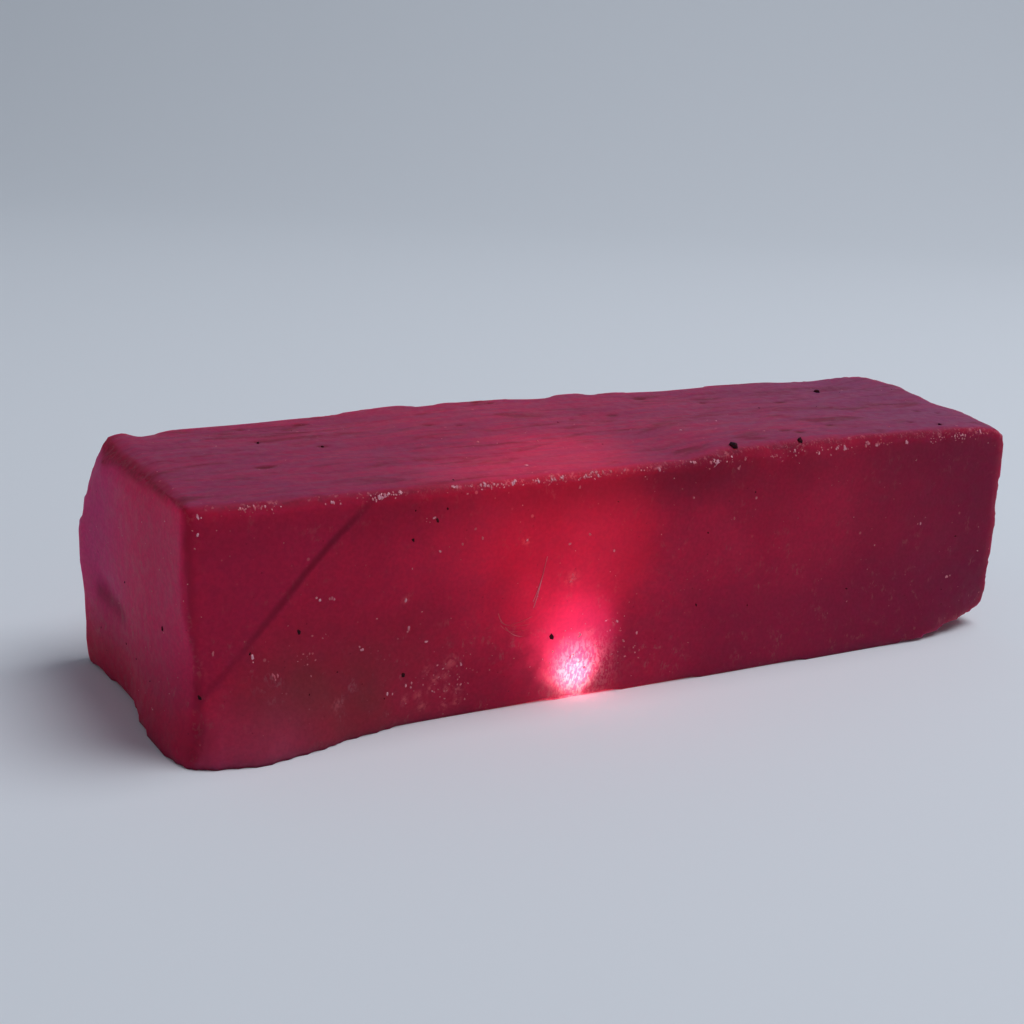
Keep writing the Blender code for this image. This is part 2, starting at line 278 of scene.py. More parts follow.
    "ior": 1.77,
    "specular": 0.10,
    "specularTint": "#c98fb4",
    "clarity": 0.26,          # share of light that goes straight through the surface
    "inside": "#f05a78",
    "insideDensity": 190.0,
    "glowDepth": (6.5, 0.9, 1.5),            # how far red, green and blue light travel
}


# Evens out the flat parts: only points that face nearly the same way pull on each other
def smoothMesh(mesh, rounds, angle, farthest):
    leastPull, pace, tiny = 1e-3, 0.5, 1e-9
    before = vertexPlaces(mesh)
    places = before.copy()
    count = len(places)
    ends = np.empty(len(mesh.edges) * 2, dtype=np.int64)
    mesh.edges.foreach_get("vertices", ends)
    first, second = ends.reshape(-1, 2).T
    normals = vertexNormals(mesh)
    limit = 1 - math.cos(math.radians(angle))
    weight = np.exp(-(1 - (normals[first] * normals[second]).sum(1)) / limit) + leastPull
    total = np.bincount(first, weight, count) + np.bincount(second, weight, count)
    for _ in range(rounds):
        for axis in range(3):
            line = places[:, axis]
            shared = np.bincount(first, weight * line[second], count)
            shared += np.bincount(second, weight * line[first], count)
            places[:, axis] = line + pace * (shared / total - line)
    moved = places - before
    length = np.linalg.norm(moved, axis=1)[:, None]
    storePlaces(mesh, before + moved * np.minimum(1, farthest / np.maximum(length, tiny)))


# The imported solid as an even, fine mesh
def makeFineMesh(cadNode, ruby):
    mesh = cadNode.data.copy()
    stone = bpy.data.objects.new("rubyStone", mesh)
    bpy.context.scene.collection.objects.link(stone)
    weld = stone.modifiers.new("weld", "WELD")
    weld.merge_threshold = ruby["weldReach"] * mm
    remesh = stone.modifiers.new("remesh", "REMESH")
    remesh.mode = "VOXEL"
    remesh.voxel_size = ruby["voxel"] * mm
    graph = bpy.context.evaluated_depsgraph_get()
    fine = bpy.data.meshes.new_from_object(stone.evaluated_get(graph))
    stone.modifiers.clear()
    stone.data = fine
    bpy.data.meshes.remove(mesh)
    smoothMesh(fine, ruby["smoothRounds"], ruby["edgeAngle"], ruby["smoothReach"])
    return stone


# Balls scooped out of the edges leave shell-shaped chips
def scoopChips(places, low, high, ruby, chance):
    chipped = np.zeros(len(places))
    middle = (low + high) / 2
    clear = ruby["chipClear"]
    for kind, (count, smallest, largest, shallow, deep, pale) in ruby["chips"].items():
        for _ in range(count):
            x = chance.uniform(low[0] + clear, high[0] - clear)
            z = chance.uniform(clear, high[2] - clear)
            end = chance.choice((-1, 1))
            if kind == "topFront":
                axis, along, outward = 0, x, (0, -1, 1)
            elif kind == "topBack":
                axis, along, outward = 0, x, (0, 1, 1)
            elif chance.random() < ruby["uprightChips"]:
                side = chance.choice((-1, 1))
                axis, along, outward = 2, z, (end, side, 0)
            else:
                y = chance.uniform(-ruby["endHalfWidth"], ruby["endHalfWidth"])
                axis, along, outward = 1, y, (end, 0, 1)
            outward = np.array(outward, float) / np.linalg.norm(outward)
            near = np.where(np.abs(places[:, axis] - along) < ruby["chipSlice"])[0]
            if len(near) == 0:
                continue
            corner = places[near[np.argmax((places[near] - middle) @ outward)]]
            radius = chance.uniform(smallest, largest)
            ball = corner + outward * (radius - chance.uniform(shallow, deep))
            offset = places - ball
            reach = np.linalg.norm(offset, axis=1)
            inside = reach < radius
            chipped[inside] = pale
            places[inside] = ball + offset[inside] * (radius / reach[inside])[:, None]
    return chipped


# Short scratches on the top
def sinkNicks(places, top, low, high, ruby, chance):
    depth = np.zeros(len(places))
    left, right, front, back = ruby["nickClear"]
    bend, bendPace = ruby["nickBend"]
    for _ in range(ruby["nickCount"]):
        x = chance.uniform(low[0] + left, high[0] - right)
        y = chance.uniform(low[1] + front, high[1] - back)
        angle = math.radians(chance.gauss(0, ruby["nickTurn"]))
        length = chance.uniform(*ruby["nickLength"])
        line = np.array((math.cos(angle), math.sin(angle)))
        offset = places[:, :2] - np.array((x, y))
        along = offset @ line
        aside = offset @ np.array((-line[1], line[0])) + bend * np.sin(along * bendPace)
        taper = np.clip(np.minimum(along, length - along) / ruby["nickTaper"], 0, 1)
        strength = chance.uniform(*ruby["nickStrength"])
        depth = np.maximum(depth, top * taper * np.exp(-(aside / ruby["nickWidth"]) ** 2) * strength)
    return depth


# Small round pits with flat bottoms: some at known places on the top, the others all over
def sinkPits(places, top, ruby, chance):
    known = np.zeros(len(places))
    for x, y in ruby["topPits"]:
        radius = chance.uniform(*ruby["topPitRadius"])
        squash = chance.uniform(*ruby["topPitSquash"])
        reach = np.hypot((places[:, 0] - x) * squash, places[:, 1] - y)
        known = np.maximum(known, top * np.exp(-(reach / radius) ** 4))
    depth = ruby["topPitDepth"] * known
    for _ in range(ruby["pitCount"]):
        middle = places[chance.randrange(len(places))]
        radius = chance.uniform(*ruby["pitRadius"])
        reach = np.linalg.norm(places - middle, axis=1)
        depth = np.maximum(depth, chance.uniform(*ruby["pitDepth"]) * np.exp(-(reach / radius) ** 4))
    return depth, known


# 1 on a line, falling off around it
def nearLine(places, start, end, radius):
    start, end = np.array(start), np.array(end)
    line = end - start
    part = np.clip((places - start) @ line / (line @ line), 0, 1)
    reach = np.linalg.norm(places - start - part[:, None] * line, axis=1)
    return np.exp(-(reach / radius) ** 2)


# Blots of dust on the front
def smudgeAt(places, smudges):
    dusty = np.zeros(len(places))
    for x, z, radius in smudges:
        reach = np.hypot(places[:, 0] - x, places[:, 2] - z)
        dusty = np.maximum(dusty, np.exp(-(reach / radius) ** 2))
    return dusty


# Masks stored with the mesh, which the material reads
def storeMasks(mesh, places, facing, ruby):
    squareTo = ruby["squareTo"]
    endHeight = smoothStep(places[:, 2], *ruby["leftEndHeight"])
    edges = smoothStep(1 - np.abs(facing).max(1), *squareTo["edges"])
    upright = smoothStep(1 - np.abs(facing[:, 2]), *squareTo["upright"])
    storeMask(mesh, "gouge", ruby["gougeShade"] * nearLine(places, *ruby["gouge"]))
    storeMask(mesh, "smudges", smudgeAt(places, ruby["smudges"]))
    storeMask(mesh, "top", smoothStep(facing[:, 2], *squareTo["top"]))
    storeMask(mesh, "leftEnd", smoothStep(-facing[:, 0], *squareTo["leftEnd"]) * endHeight)
    storeMask(mesh, "rightEnd", smoothStep(facing[:, 0], *squareTo["rightEnd"]))
    storeMask(mesh, "front", smoothStep(-facing[:, 1], *squareTo["front"]))
    storeMask(mesh, "edges", edges * (1 - ruby["uprightSpared"] * upright))


def makeStone(ruby):
    stone = makeFineMesh(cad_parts["ruby"], ruby)
    mesh = stone.data
    print("fine mesh:", len(mesh.vertices), "points")
    facing = vertexNormals(mesh)
    chance = random.Random(ruby["seed"])
    places = vertexPlaces(mesh)
    low, high = places.min(0), places.max(0)
    chipped = scoopChips(places, low, high, ruby, chance)
    storePlaces(mesh, places)
    print("chips scooped")
    normals = vertexNormals(mesh)
    onTop = normals[:, 2] > ruby["onTop"]
    height = np.zeros(len(places))
    for wavelength, amount in ruby["grain"]:
        height += amount * noiseAt(places, 1 / wavelength)
    streaks = noiseAt(places, 1 / np.array(ruby["streakSize"]), 31.0)   # away from the grain's noise
    facingUp = np.clip(normals[:, 2], 0, 1) ** 2
    height += ruby["streakHeight"] * streaks * facingUp
    nicks = sinkNicks(places, onTop, low, high, ruby, chance)
    pits, topPits = sinkPits(places, onTop, ruby, chance)
    height -= ruby["nickDepth"] * nicks + pits
    onFoot = np.clip(places[:, 2] / ruby["footFade"], 0, 1)
    carved = places + normals * (height * onFoot)[:, None]
    carved[:, 2] = np.maximum(carved[:, 2], 0)
    storePlaces(mesh, carved)
    storeMask(mesh, "chipped", chipped)
    storeMask(mesh, "scars", np.maximum(ruby["nickShade"] * nicks, topPits))
    storeMasks(mesh, places, facing, ruby)
    mesh.shade_smooth()
    print("surface carved")
    return stone


# Frosted ruby: rough-broken corundum, cloudy inside. The eye sees deep crimson that light soaks into,
# under a fine matt skin; its mauve on the top and left end is painted sheen, and painted shade darkens the
# front under its top edge and towards the foot.
def makeFrostedRuby(ruby):
    material = bpy.data.materials.new("frostedRuby")
    material.use_nodes = True
    tree = material.node_tree
    tree.nodes.clear()
    inMetres = addNode(tree, "ShaderNodeTexCoord").outputs["Object"]
    place = addNode(tree, "ShaderNodeVectorMath", {0: inMetres, "Scale": 1 / mm},
                    operation="SCALE").outputs[0]

    # what the layers are measured by: patterns, the masks, places, and ways to the crack and the core
    measure = {}
    for name, (size, detail, distortion, squeeze) in ruby["patterns"].items():
        squeezed = addNode(tree, "ShaderNodeMapping", {"Vector": place, "Scale": squeeze})
        measure[name] = addNode(tree, "ShaderNodeTexNoise", {
            "Vector": squeezed.outputs[0], "Scale": 1 / size, "Detail": detail, "Distortion": distortion,
        }).outputs["Fac"]
    for name in ("chipped", "scars", "gouge", "smudges", "top", "leftEnd", "rightEnd", "front", "edges"):
        measure[name] = addNode(tree, "ShaderNodeAttribute", attribute_name=name).outputs["Fac"]
    split = addNode(tree, "ShaderNodeSeparateXYZ", {0: place})
    measure["east"], measure["north"], measure["up"] = split.outputs
    slant = addNode(tree, "ShaderNodeVectorMath", {0: place, 1: ruby["crackAcross"]},
                    operation="DOT_PRODUCT").outputs["Value"]
    slant = addNode(tree, "ShaderNodeMath", {0: measure["wander"], 1: ruby["crackWander"], 2: slant},
                    operation="MULTIPLY_ADD").outputs[0]
    offset = ruby["crackOffset"] - ruby["crackWander"] / 2     # wandering evenly to both sides
    measure["crack"] = addNode(tree, "ShaderNodeMath", {0: slant, 1: offset}, operation="ADD").outputs[0]
    measure["crackAway"] = addNode(tree, "ShaderNodeMath", {0: measure["crack"]},
                                   operation="ABSOLUTE").outputs[0]
    measure["coreAway"] = addNode(tree, "ShaderNodeVectorMath", {0: place, 1: ruby["coreMiddle"]},
                                  operation="DISTANCE").outputs["Value"]
    for name, spacing in ruby["specks"].items():
        dots = addNode(tree, "ShaderNodeTexVoronoi", {"Vector": place, "Scale": 1 / spacing})
        measure[name + "Away"] = dots.outputs["Distance"]
        choice = addNode(tree, "ShaderNodeSeparateColor", {0: dots.outputs["Color"]})
        measure[name + "Choice"] = choice.outputs[0]
    for name, (source, low, high, before, after) in ruby["steps"].items():
        measure[name] = addNode(tree, "ShaderNodeMapRange", {
            "Value": measure[source], "From Min": low, "From Max": high, "To Min": before, "To Max": after,
        }, interpolation_type="SMOOTHSTEP").outputs[0]

    colours = {name: srgbToLinear(colour) for name, colour in ruby["colours"].items()}
    colour = addNode(tree, "ShaderNodeRGB").outputs[0]
    colour.default_value = colours["deepCrimson"]
    for name, *factors in ruby["layers"]:
        share = measure[factors[0]]
        for factor in factors[1:]:
            share = addNode(tree, "ShaderNodeMath", {0: share, 1: measure[factor]},
                            operation="MULTIPLY").outputs[0]
        colour = addNode(tree, "ShaderNodeMix", {"Factor": share, 6: colour, 7: colours[name]},
                         data_type="RGBA").outputs[2]
    for name in ("mottleShade", "speckleShade"):
        colour = addNode(tree, "ShaderNodeVectorMath", {0: colour, "Scale": measure[name]},
                         operation="SCALE").outputs[0]

    ridges = addNode(tree, "ShaderNodeMath", {0: measure["streaks"], 1: measure["top"]},
                     operation="MULTIPLY").outputs[0]
    grit = addNode(tree, "ShaderNodeMath", {0: ridges, 1: ruby["ridgeShare"], 2: measure["mottle"]},
                   operation="MULTIPLY_ADD").outputs[0]
    bump = addNode(tree, "ShaderNodeBump", {
        "Height": grit, "Strength": ruby["bumpStrength"], "Distance": ruby["bumpHeight"] * mm,
    })
    redDepth = ruby["glowDepth"][0]
    shader = addNode(tree, "ShaderNodeBsdfPrincipled", {
        "Base Color": colour,
        "Roughness": measure["roughness"],
        "Normal": bump.outputs[0],
        "IOR": ruby["ior"],
        "Specular IOR Level": ruby["specular"],
        "Specular Tint": srgbToLinear(ruby["specularTint"]),
        "Transmission Weight": ruby["clarity"],
        "Subsurface Weight": 1.0,
        "Subsurface Radius": tuple(depth / redDepth for depth in ruby["glowDepth"]),
        "Subsurface Scale": redDepth * mm,
    })
    inside = addNode(tree, "ShaderNodeVolumeAbsorption", {
        "Color": srgbToLinear(ruby["inside"]), "Density": ruby["insideDensity"],
    })
    addNode(tree, "ShaderNodeOutputMaterial", {"Surface": shader.outputs[0], "Volume": inside.outputs[0]})
    return material


# The form that the pale and the dark grains share: they are stuck in the surface, half sunk
grainForm = {
    "rings": ((0.0, 1.0, 0.0), (0.5, 0.75, 0.7)),   # (turn, width, height) of two rings of five corners
    "stretch": (1.0, 2.0),
    "turnStrays": 0.25,
    "reachStrays": (0.65, 1.05),
    "heightStrays": (0.8, 1.2),
    "root": 0.6,              # how deep a grain goes, and how high it stands out, in its own sizes
    "rise": 0.42,
    "sides": ("front", "front", "back", "back", "top", "top", "left", "right"),    # where loose ones land
    "clear": ((1, 2), (3, 3), (3, 2)),       # and how far they keep from the ends, the sides, foot and top
}


# The point where a ray meets the stone, with the way that the surface faces there. The last two rays come
# at a slant onto the top's long edges.
def castOnto(tree, side, first, second=0.0):
    start, way = {
        "front": ((first, -60, second), (0, 1, 0)),
        "back": ((first, 60, second), (0, -1, 0)),
        "top": ((first, second, 60), (0, 0, -1)),
        "left": ((-90, first, second), (1, 0, 0)),
        "right": ((90, first, second), (-1, 0, 0)),
        "topFront": ((first, -54.4, 65.7 + second), (0, 1, -1)),
        "topBack": ((first, 56.0, 65.7 + second), (0, -1, -1)),
    }[side]
    place, normal, _, _ = tree.ray_cast(Vector(start), Vector(way).normalized())
    return place, normal


def anywhere(tree, low, high, chance):
    side = chance.choice(grainForm["sides"])
    x, y, z = [chance.uniform(low[axis] + near, high[axis] - far)
               for axis, (near, far) in enumerate(grainForm["clear"])]
    return castOnto(tree, side, *{"front": (x, z), "back": (x, z), "top": (x, y)}.get(side, (y, z)))


# An uneven twenty-sided grain
def addGrain(verts, faces, place, normal, size, chance, along=None, rise=grainForm["rise"]):
    if place is None:
        return
    aside = along or Vector([chance.gauss(0, 1) for _ in range(3)])
    ahead = normal.cross(aside).normalized()
    aside = ahead.cross(normal)
    stretch = chance.uniform(*grainForm["stretch"])
    strays = grainForm["turnStrays"]
    first = len(verts)
    for turn, width, height in grainForm["rings"]:
        lift = height * rise
        for corner in range(5):
            angle = (corner + turn + chance.uniform(-strays, strays)) * math.tau / 5
            reach = size * width * chance.uniform(*grainForm["reachStrays"])
            outward = (aside * math.cos(angle) + ahead * math.sin(angle) * stretch) * reach
            raised = normal * size * lift * chance.uniform(*grainForm["heightStrays"])
            verts.append(place + outward + raised)
    verts.append(place - normal * size * grainForm["root"])
    verts.append(place + normal * size * rise)
    bottom, tip = first + 10, first + 11
    for corner in range(5):
        low, lowAfter = first + corner, first + (corner + 1) % 5
        high, highAfter = low + 5, lowAfter + 5
        faces.append((bottom, lowAfter, low))
        faces.append((low, lowAfter, high))
        faces.append((high, lowAfter, highAfter))
        faces.append((high, highAfter, tip))


# The pale grains: grit, and at the sparks and glints painted glints of light. A place is (along the bar,
# height) on the front and (along, across) on the top. On the top's front edge only the place along the bar
# is given.
paleGrains = {
    "seed": 19,               # for the dark grains too, which are strewn after these
    "edgeSparks": [-48.3, -47.2, -46.0, -38.8, -34.4, -33.8, -33.2, -31.5, -25.3, -21.9, -21.3, -20.8,
                   -18.4, -15.9, -13.6, -12.6, -9.6, -8.9, -8.0, -6.5, -4.8, -0.2, 4.1, 7.2, 7.5, 9.3,
                   11.2, 15.9, 16.2, 18.6, 21.7, 24.8, 26.1, 29.2, 30.9, 35.4, 41.1, 43.1, 44.3, 44.8,
                   47.5],
    "edgeSparkSize": 0.18,
    "edgeSparkDrop": (-0.3, 0.25),
    "sparkParts": (1, 4),     # a bright spark is a few grains close together
    "sparkSpread": (0.22, 0.15),
    "sparkShare": (0.5, 1.1),
    "edgeCount": 330,         # finer grains, close to the sparks of the edge
    "edgeScatter": 1.0,
    "edgeDrop": (-0.15, 0.35),
    "frontSparks": [(-52.6, 25.2), (-52.8, 23.5), (-38.6, 15.4), (-40.7, 15.5), (-30.5, 14.1), (-30.1, 11.0),
                    (-35.6, 9.8), (-31.8, 4.2), (-29.9, 4.8), (-45.1, 8.2), (-47.3, 10.3), (-51.2, 11.3),
                    (32.6, 13.1), (39.4, 15.1), (44.8, 7.8), (-10.6, 24.4), (10.7, 24.5), (-9.1, 7.2)],
    "frontSparkSize": 0.15,
    "frontGlints": [(-4.4, 8.3), (-3.4, 5.9), (-1.7, 6.6), (-5.4, 2.7), (-22.0, 19.8), (-16.6, 19.0),
                    (-11.3, 18.0), (-8.8, 18.8), (-5.5, 16.6), (-26.9, 18.9), (-24.3, 19.4), (-27.8, 22.6),
                    (-22.9, 20.9), (10.6, 18.6), (13.5, 20.7), (4.6, 21.6), (-28.1, 9.3), (-23.7, 6.0)],
    "topGlints": [(-15.5, -1.0), (-8.7, -2.4), (-14.8, -10.3), (9.3, -4.7), (16.4, -2.0), (18.0, -9.1),
                  (34.9, -11.7), (44.4, -13.3)],
    "topGlintSize": (0.12, 0.2),
    "clusters": [(-30.5, -21.5, 0.9, 7.6, 60), (-44.0, -38.5, 8.0, 13.0, 18),     # x from, x to, z from,
                 (-8.0, -0.6, 1.6, 10.0, 34), (-13.4, -5.0, 0.8, 8.6, 70),        # z to and how many
                 (-11.3, -10.3, 13.4, 14.6, 9)],
    "clusterSize": (0.03, 0.11),
    "lowest": 0.5,
    "looseCount": 420,        # all over the stone
    "looseSize": (0.03, 0.09),
    "fibres": [[(-14.0, 16.9), (-14.4, 15.3), (-14.6, 13.4), (-15.3, 11.3)],     # bent lines on the front
               [(-14.3, 15.4), (-14.5, 14.3), (-14.9, 13.0), (-15.4, 12.0)],
               [(-19.6, 11.2), (-19.2, 9.6), (-17.9, 9.3), (-15.7, 9.5)],
               [(-19.3, 10.3), (-18.6, 9.3), (-17.4, 9.7), (-15.4, 10.3)],
               [(-19.2, 9.8), (-18.2, 8.5), (-17.1, 8.9), (-15.9, 8.9)],
               [(-18.6, 9.5), (-17.8, 8.4), (-17.0, 8.2), (-16.2, 8.2)]],
    "fibreWidth": 0.06,
    "paleGrain": "#e69cae",
    "roseGrain": "#c84e62",
    "toneSize": 1.9,          # the tone drifts over this distance, which is a few grains
    "toneFrom": 0.34,
    "toneTo": 0.58,
    "roughness": 0.35,
    "ior": 1.77,
    "specular": 0.45,
}


def addSpark(verts, faces, tree, side, first, second, size, grains, chance):
    spread, drop = grains["sparkSpread"]
    for _ in range(chance.randint(*grains["sparkParts"])):
        spot = castOnto(tree, side, first + chance.gauss(0, spread), second + chance.gauss(0, drop))
        part = size * chance.uniform(*grains["sparkShare"])
        addGrain(verts, faces, *spot, part, chance, Vector((1, 0, 0)))


# A hair-thin scratch along a bent line on the front: a three-sided thread of nine rings
def addFibre(verts, faces, tree, line, width):
    rings = []
    for point in interpolate_bezier(*[Vector((x, z, 0)) for x, z in line], 9):
        place, _ = castOnto(tree, "front", point.x, point.y)
        rings.append(len(verts))
        for turn in range(3):
            angle = turn * math.tau / 3
            verts.append(place + Vector((math.cos(angle) * width, math.sin(angle) * width, 0)))
    for start, end in zip(rings, rings[1:]):
        for turn in range(3):
            after = (turn + 1) % 3
            faces.append((start + turn, start + after, end + after, end + turn))
    faces.append((rings[0] + 2, rings[0] + 1, rings[0]))
    faces.append((rings[-1], rings[-1] + 1, rings[-1] + 2))


# Pale grit and painted glints: newly broken ruby, unpolished. The eye sees pale pink grains whose tone
# drifts from grain to grain; at the sparks and glints they are painted glints of light.
def makePaleGritAndGlints(grains):
    material = bpy.data.materials.new("paleGritAndGlints")
    material.use_nodes = True
    tree = material.node_tree
    tree.nodes.clear()
    place = addNode(tree, "ShaderNodeTexCoord").outputs["Object"]
    drift = addNode(tree, "ShaderNodeTexNoise", {
        "Vector": place, "Scale": 1 / (grains["toneSize"] * mm), "Detail": 2.0,
    })
    share = addNode(tree, "ShaderNodeMapRange", {
        "Value": drift.outputs["Fac"], "From Min": grains["toneFrom"], "From Max": grains["toneTo"],
    })
    colour = addNode(tree, "ShaderNodeMix", {
        0: share.outputs[0], 6: srgbToLinear(grains["paleGrain"]), 7: srgbToLinear(grains["roseGrain"]),
    }, data_type="RGBA")
    shader = addNode(tree, "ShaderNodeBsdfPrincipled", {
        "Base Color": colour.outputs[2], "Roughness": grains["roughness"], "IOR": grains["ior"],
        "Specular IOR Level": grains["specular"],
    })
    addNode(tree, "ShaderNodeOutputMaterial", {"Surface": shader.outputs[0]})
    return material


def finishPiece(name, verts, faces, material):
    mesh = bpy.data.meshes.new(name)
    mesh.from_pydata([tuple(v * mm) for v in verts], [], faces)
    mesh.materials.append(material)
    piece = bpy.data.objects.new(name, mesh)
    bpy.context.scene.collection.objects.link(piece)
    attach(piece, "root")
    print(name + ":", len(faces), "faces")


def makePaleGrains(grains, tree, low, high, chance):
    verts, faces = [], []
    for x in grains["edgeSparks"]:
        drop = chance.uniform(*grains["edgeSparkDrop"])
        addSpark(verts, faces, tree, "topFront", x, drop, grains["edgeSparkSize"], grains, chance)
    for _ in range(grains["edgeCount"]):
        x = chance.choice(grains["edgeSparks"]) + chance.gauss(0, grains["edgeScatter"])
        side = chance.choice(("topFront", "topFront", "topFront", "topBack"))
        spot = castOnto(tree, side, x, chance.gauss(*grains["edgeDrop"]))
        addGrain(verts, faces, *spot, chance.uniform(*grains["clusterSize"]), chance)
    for x, z in grains["frontSparks"]:
        addSpark(verts, faces, tree, "front", x, z, grains["frontSparkSize"], grains, chance)
    for x, z in grains["frontGlints"]:
        addGrain(verts, faces, *castOnto(tree, "front", x, z), grains["frontSparkSize"], chance)
    for x, y in grains["topGlints"]:
        size = chance.uniform(*grains["topGlintSize"])
        addGrain(verts, faces, *castOnto(tree, "top", x, y), size, chance)
    for left, right, down, up, count in grains["clusters"]:
        for _ in range(count):
            x = chance.gauss((left + right) / 2, (right - left) / 4)
            z = max(grains["lowest"], chance.gauss((down + up) / 2, (up - down) / 4))
            size = chance.uniform(*grains["clusterSize"])
            addGrain(verts, faces, *castOnto(tree, "front", x, z), size, chance)
    for _ in range(grains["looseCount"]):
        size = chance.uniform(*grains["looseSize"])
        addGrain(verts, faces, *anywhere(tree, low, high, chance), size, chance)
    for line in grains["fibres"]:
        addFibre(verts, faces, tree, line, grains["fibreWidth"])
    finishPiece("paleGrains", verts, faces, makePaleGritAndGlints(grains))


# The dark grains, as (along the bar, height, size) on the front, (along, across, size) on the top and
# (across, height, size) on the left end
darkGrains = {
    "front": [(-12.7, 7.6, 0.34), (-27.4, 22.3, 0.18), (-30.1, 20.5, 0.2), (-42.4, 12.4, 0.22),
              (-30.5, 5.9, 0.28), (-52.6, 7.1, 0.2), (13.5, 7.9, 0.12), (6.3, 8.8, 0.12),
              (-26.3, 23.4, 0.12)],
    "top": [(10.4, -13.3, 0.5), (19.7, -13.5, 0.4), (41.3, 9.1, 0.38), (-38.3, 6.6, 0.22),
            (42.9, -12.0, 0.22), (-32.7, 2.3, 0.2)],
    "topRise": 0.9,           # those on the top stand out farther
    "leftEnd": [(-7.7, 12.0, 0.24)],
    "looseCount": 44,         # all over the stone
    "looseSize": (0.06, 0.13),
    "darkGrain": "#180a12",
    "rustGrain": "#50121e",
    "rustSize": 0.5,          # from one rusty spot to the next
    "rustFrom": 0.3,
    "rustTo": 0.8,
    "roughness": 0.8,
    "ior": 1.6,
    "specular": 0.1,
}


# Dark inclusion: dull iron-rich mineral grains. The eye sees near-black specks, rusty in places.
def makeDarkInclusion(grains):
    material = bpy.data.materials.new("darkInclusion")
    material.use_nodes = True
    tree = material.node_tree
    tree.nodes.clear()
    place = addNode(tree, "ShaderNodeTexCoord").outputs["Object"]
    rust = addNode(tree, "ShaderNodeTexVoronoi", {"Vector": place, "Scale": 1 / (grains["rustSize"] * mm)})
    share = addNode(tree, "ShaderNodeMapRange", {
        "Value": rust.outputs["Distance"], "From Min": grains["rustFrom"], "From Max": grains["rustTo"],
    })
    colour = addNode(tree, "ShaderNodeMix", {
        0: share.outputs[0], 6: srgbToLinear(grains["darkGrain"]), 7: srgbToLinear(grains["rustGrain"]),
    }, data_type="RGBA")
    shader = addNode(tree, "ShaderNodeBsdfPrincipled", {
        "Base Color": colour.outputs[2], "Roughness": grains["roughness"], "IOR": grains["ior"],
        "Specular IOR Level": grains["specular"],
    })
    addNode(tree, "ShaderNodeOutputMaterial", {"Surface": shader.outputs[0]})
    return material


def makeDarkGrains(grains, tree, low, high, chance):
    verts, faces = [], []
    for x, z, size in grains["front"]:
        addGrain(verts, faces, *castOnto(tree, "front", x, z), size, chance, Vector((1, 0, 0.4)))
    for x, y, size in grains["top"]:
        spot = castOnto(tree, "top", x, y)
        addGrain(verts, faces, *spot, size, chance, Vector((1, 0, 0)), grains["topRise"])
    for y, z, size in grains["leftEnd"]:
        addGrain(verts, faces, *castOnto(tree, "left", y, z), size, chance)
    for _ in range(grains["looseCount"]):
        size = chance.uniform(*grains["looseSize"])
        addGrain(verts, faces, *anywhere(tree, low, high, chance), size, chance)
    finishPiece("darkGrains", verts, faces, makeDarkInclusion(grains))


def makeGrains(stone):
    mesh = stone.data
    mesh.calc_loop_triangles()
    places = vertexPlaces(mesh)
    low, high = places.min(0), places.max(0)
    triangles = [tuple(triangle.vertices) for triangle in mesh.loop_triangles]
    tree = BVHTree.FromPolygons([Vector(place) for place in places], triangles)
    chance = random.Random(paleGrains["seed"])
    makePaleGrains(paleGrains, tree, low, high, chance)
    makeDarkGrains(darkGrains, tree, low, high, chance)


# A sheet that lies flat under the stone and curves up far behind it. Its sizes are in metres.
paperSweep = {
    "colour": "#e5eaee",
    "roughness": 0.9,
    "specular": 0.1,
    "width": 4.4,
    "near": -1.2,
    "bendFrom": 0.40,
    "bendRadius": 0.5,
    "bendFirst": 0.05,        # the bend's first step, in radians, and the number of its points
    "bendPoints": 24,
    "height": 1.6,
}


# Matt paper: pressed, uncoated. The eye sees an even, pale cool grey.
def makeMattPaper(sheet):
    material = bpy.data.materials.new("mattPaper")
    material.use_nodes = True
    tree = material.node_tree
    tree.nodes.clear()
    shader = addNode(tree, "ShaderNodeBsdfPrincipled", {
        "Base Color": srgbToLinear(sheet["colour"]), "Roughness": sheet["roughness"],
        "Specular IOR Level": sheet["specular"],
    })
    addNode(tree, "ShaderNodeOutputMaterial", {"Surface": shader.outputs[0]})
    return material


def makeSweep(sheet):
    radius, start = sheet["bendRadius"], sheet["bendFrom"]
    points = [(sheet["near"], 0.0), (start, 0.0)]
    for angle in np.linspace(sheet["bendFirst"], math.pi / 2, sheet["bendPoints"]):
        points.append((start + radius * math.sin(angle), radius * (1 - math.cos(angle))))
    points.append((start + radius, sheet["height"]))
    turn = Matrix.Rotation(math.radians(-cameraView["yaw"]), 4, "Z")
    verts = [turn @ Vector((side * sheet["width"] / 2, y, z)) for y, z in points for side in (-1, 1)]
    faces = [(2 * i, 2 * i + 1, 2 * i + 3, 2 * i + 2) for i in range(len(points) - 1)]
    mesh = bpy.data.meshes.new("paperSweep")
    mesh.from_pydata([tuple(v) for v in verts], [], faces)
    mesh.shade_smooth()
    mesh.materials.append(makeMattPaper(sheet))
    sweep = bpy.data.objects.new("paperSweep", mesh)
    bpy.context.scene.collection.objects.link(sweep)


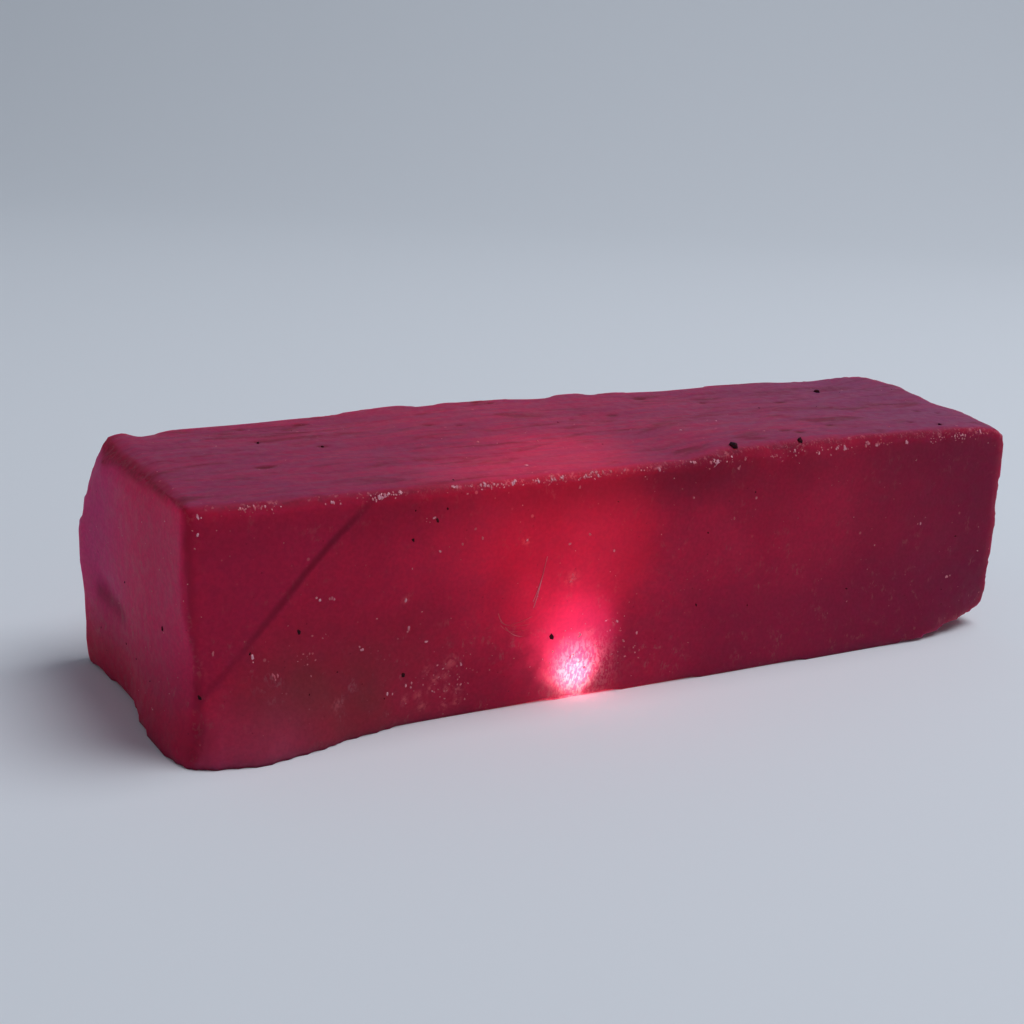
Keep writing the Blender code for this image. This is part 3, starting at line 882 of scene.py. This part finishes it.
# Soft daylight from all round, one broad lamp above, and the glow in the stone's lower middle
studioLight = {
    "sky": "#c8d1e0",
    "skyStrength": 0.295,
    "softbox": "#f4f5fb",
    "softboxPower": 4.55,
    "softboxPlace": (300.0, -150.0, 770.0),
    "softboxSize": 600.0,
    "glowLamps": [            # (place, radius, watts, colour) of soft round lamps inside the stone
        ((-8.6, -12.0, 2.0), 2.6, 0.0033, "#e4ffe6"),
        ((-8.2, -10.9, 3.0), 4.0, 0.0058, "#e8e8ec"),
        ((-7.2, -8.3, 5.9), 6.1, 0.0051, "#ecc4ff"),
        ((-7.6, -4.8, 8.8), 8.6, 0.0019, "#f0d8ff"),
        ((-5.2, -1.0, 15.2), 12.6, 0.0112, "#fff0f4"),
        ((-18.5, -4.0, 19.8), 7.0, 0.0010, "#fff0f4"),
    ],
}


# The glow lamps light only the stone
def tieToStone(lamp, stone):
    group = bpy.data.collections.new(lamp.name + "Reach")
    group.objects.link(stone)
    lamp.light_linking.receiver_collection = group
    lamp.visible_camera = False


def makeLight(stone, light):
    world = bpy.data.worlds.new("softRoom")
    world.use_nodes = True
    tree = world.node_tree
    tree.nodes.clear()
    sky = addNode(tree, "ShaderNodeBackground", {
        "Color": srgbToLinear(light["sky"]), "Strength": light["skyStrength"],
    })
    addNode(tree, "ShaderNodeOutputWorld", {"Surface": sky.outputs[0]})
    bpy.context.scene.world = world
    data = bpy.data.lights.new("softbox", "AREA")
    data.energy = light["softboxPower"]
    data.color = srgbToLinear(light["softbox"])[:3]
    data.shape = "DISK"
    data.size = light["softboxSize"] * mm
    softbox = bpy.data.objects.new("softbox", data)
    softbox.location = Vector(light["softboxPlace"]) * mm
    softbox.rotation_euler = softbox.location.to_track_quat("Z", "Y").to_euler()
    bpy.context.scene.collection.objects.link(softbox)
    for number, (place, radius, watts, colour) in enumerate(light["glowLamps"], 1):
        data = bpy.data.lights.new("glow" + str(number), "POINT")
        data.energy = watts
        data.color = srgbToLinear(colour)[:3]
        data.shadow_soft_size = radius * mm
        lamp = bpy.data.objects.new(data.name, data)
        lamp.location = Vector(place) * mm
        bpy.context.scene.collection.objects.link(lamp)
        tieToStone(lamp, stone)


# The camera stands where the photograph was taken from
cameraView = {
    "place": (-106.171, -158.755, 71.904),
    "pitch": 16.38,
    "yaw": 31.21,
    "roll": 3.32,
    "lens": 59.77,
    "sensor": 36.0,
    "clipStart": 5.0,
}


def makeCamera(view):
    data = bpy.data.cameras.new("camera")
    data.sensor_width = view["sensor"]
    data.lens = view["lens"]
    data.clip_start = view["clipStart"] * mm
    camera = bpy.data.objects.new("camera", data)
    bpy.context.scene.collection.objects.link(camera)
    turn = Matrix.Rotation(math.radians(-view["yaw"]), 4, "Z")
    tilt = Matrix.Rotation(math.radians(90 - view["pitch"]), 4, "X")
    lean = Matrix.Rotation(math.radians(view["roll"]), 4, "Z")
    camera.matrix_world = Matrix.Translation(Vector(view["place"]) * mm) @ turn @ tilt @ lean
    bpy.context.scene.camera = camera


makeCamera(cameraView)
print("camera placed")
stone = makeStone(rubyStone)
stone.data.materials.clear()
stone.data.materials.append(makeFrostedRuby(rubyStone))
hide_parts("ruby")
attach(stone, "root")
print("ruby finished")
makeGrains(stone)
makeSweep(paperSweep)
makeLight(stone, studioLight)
bpy.context.scene.view_settings.view_transform = "Standard"
print("studio lit")
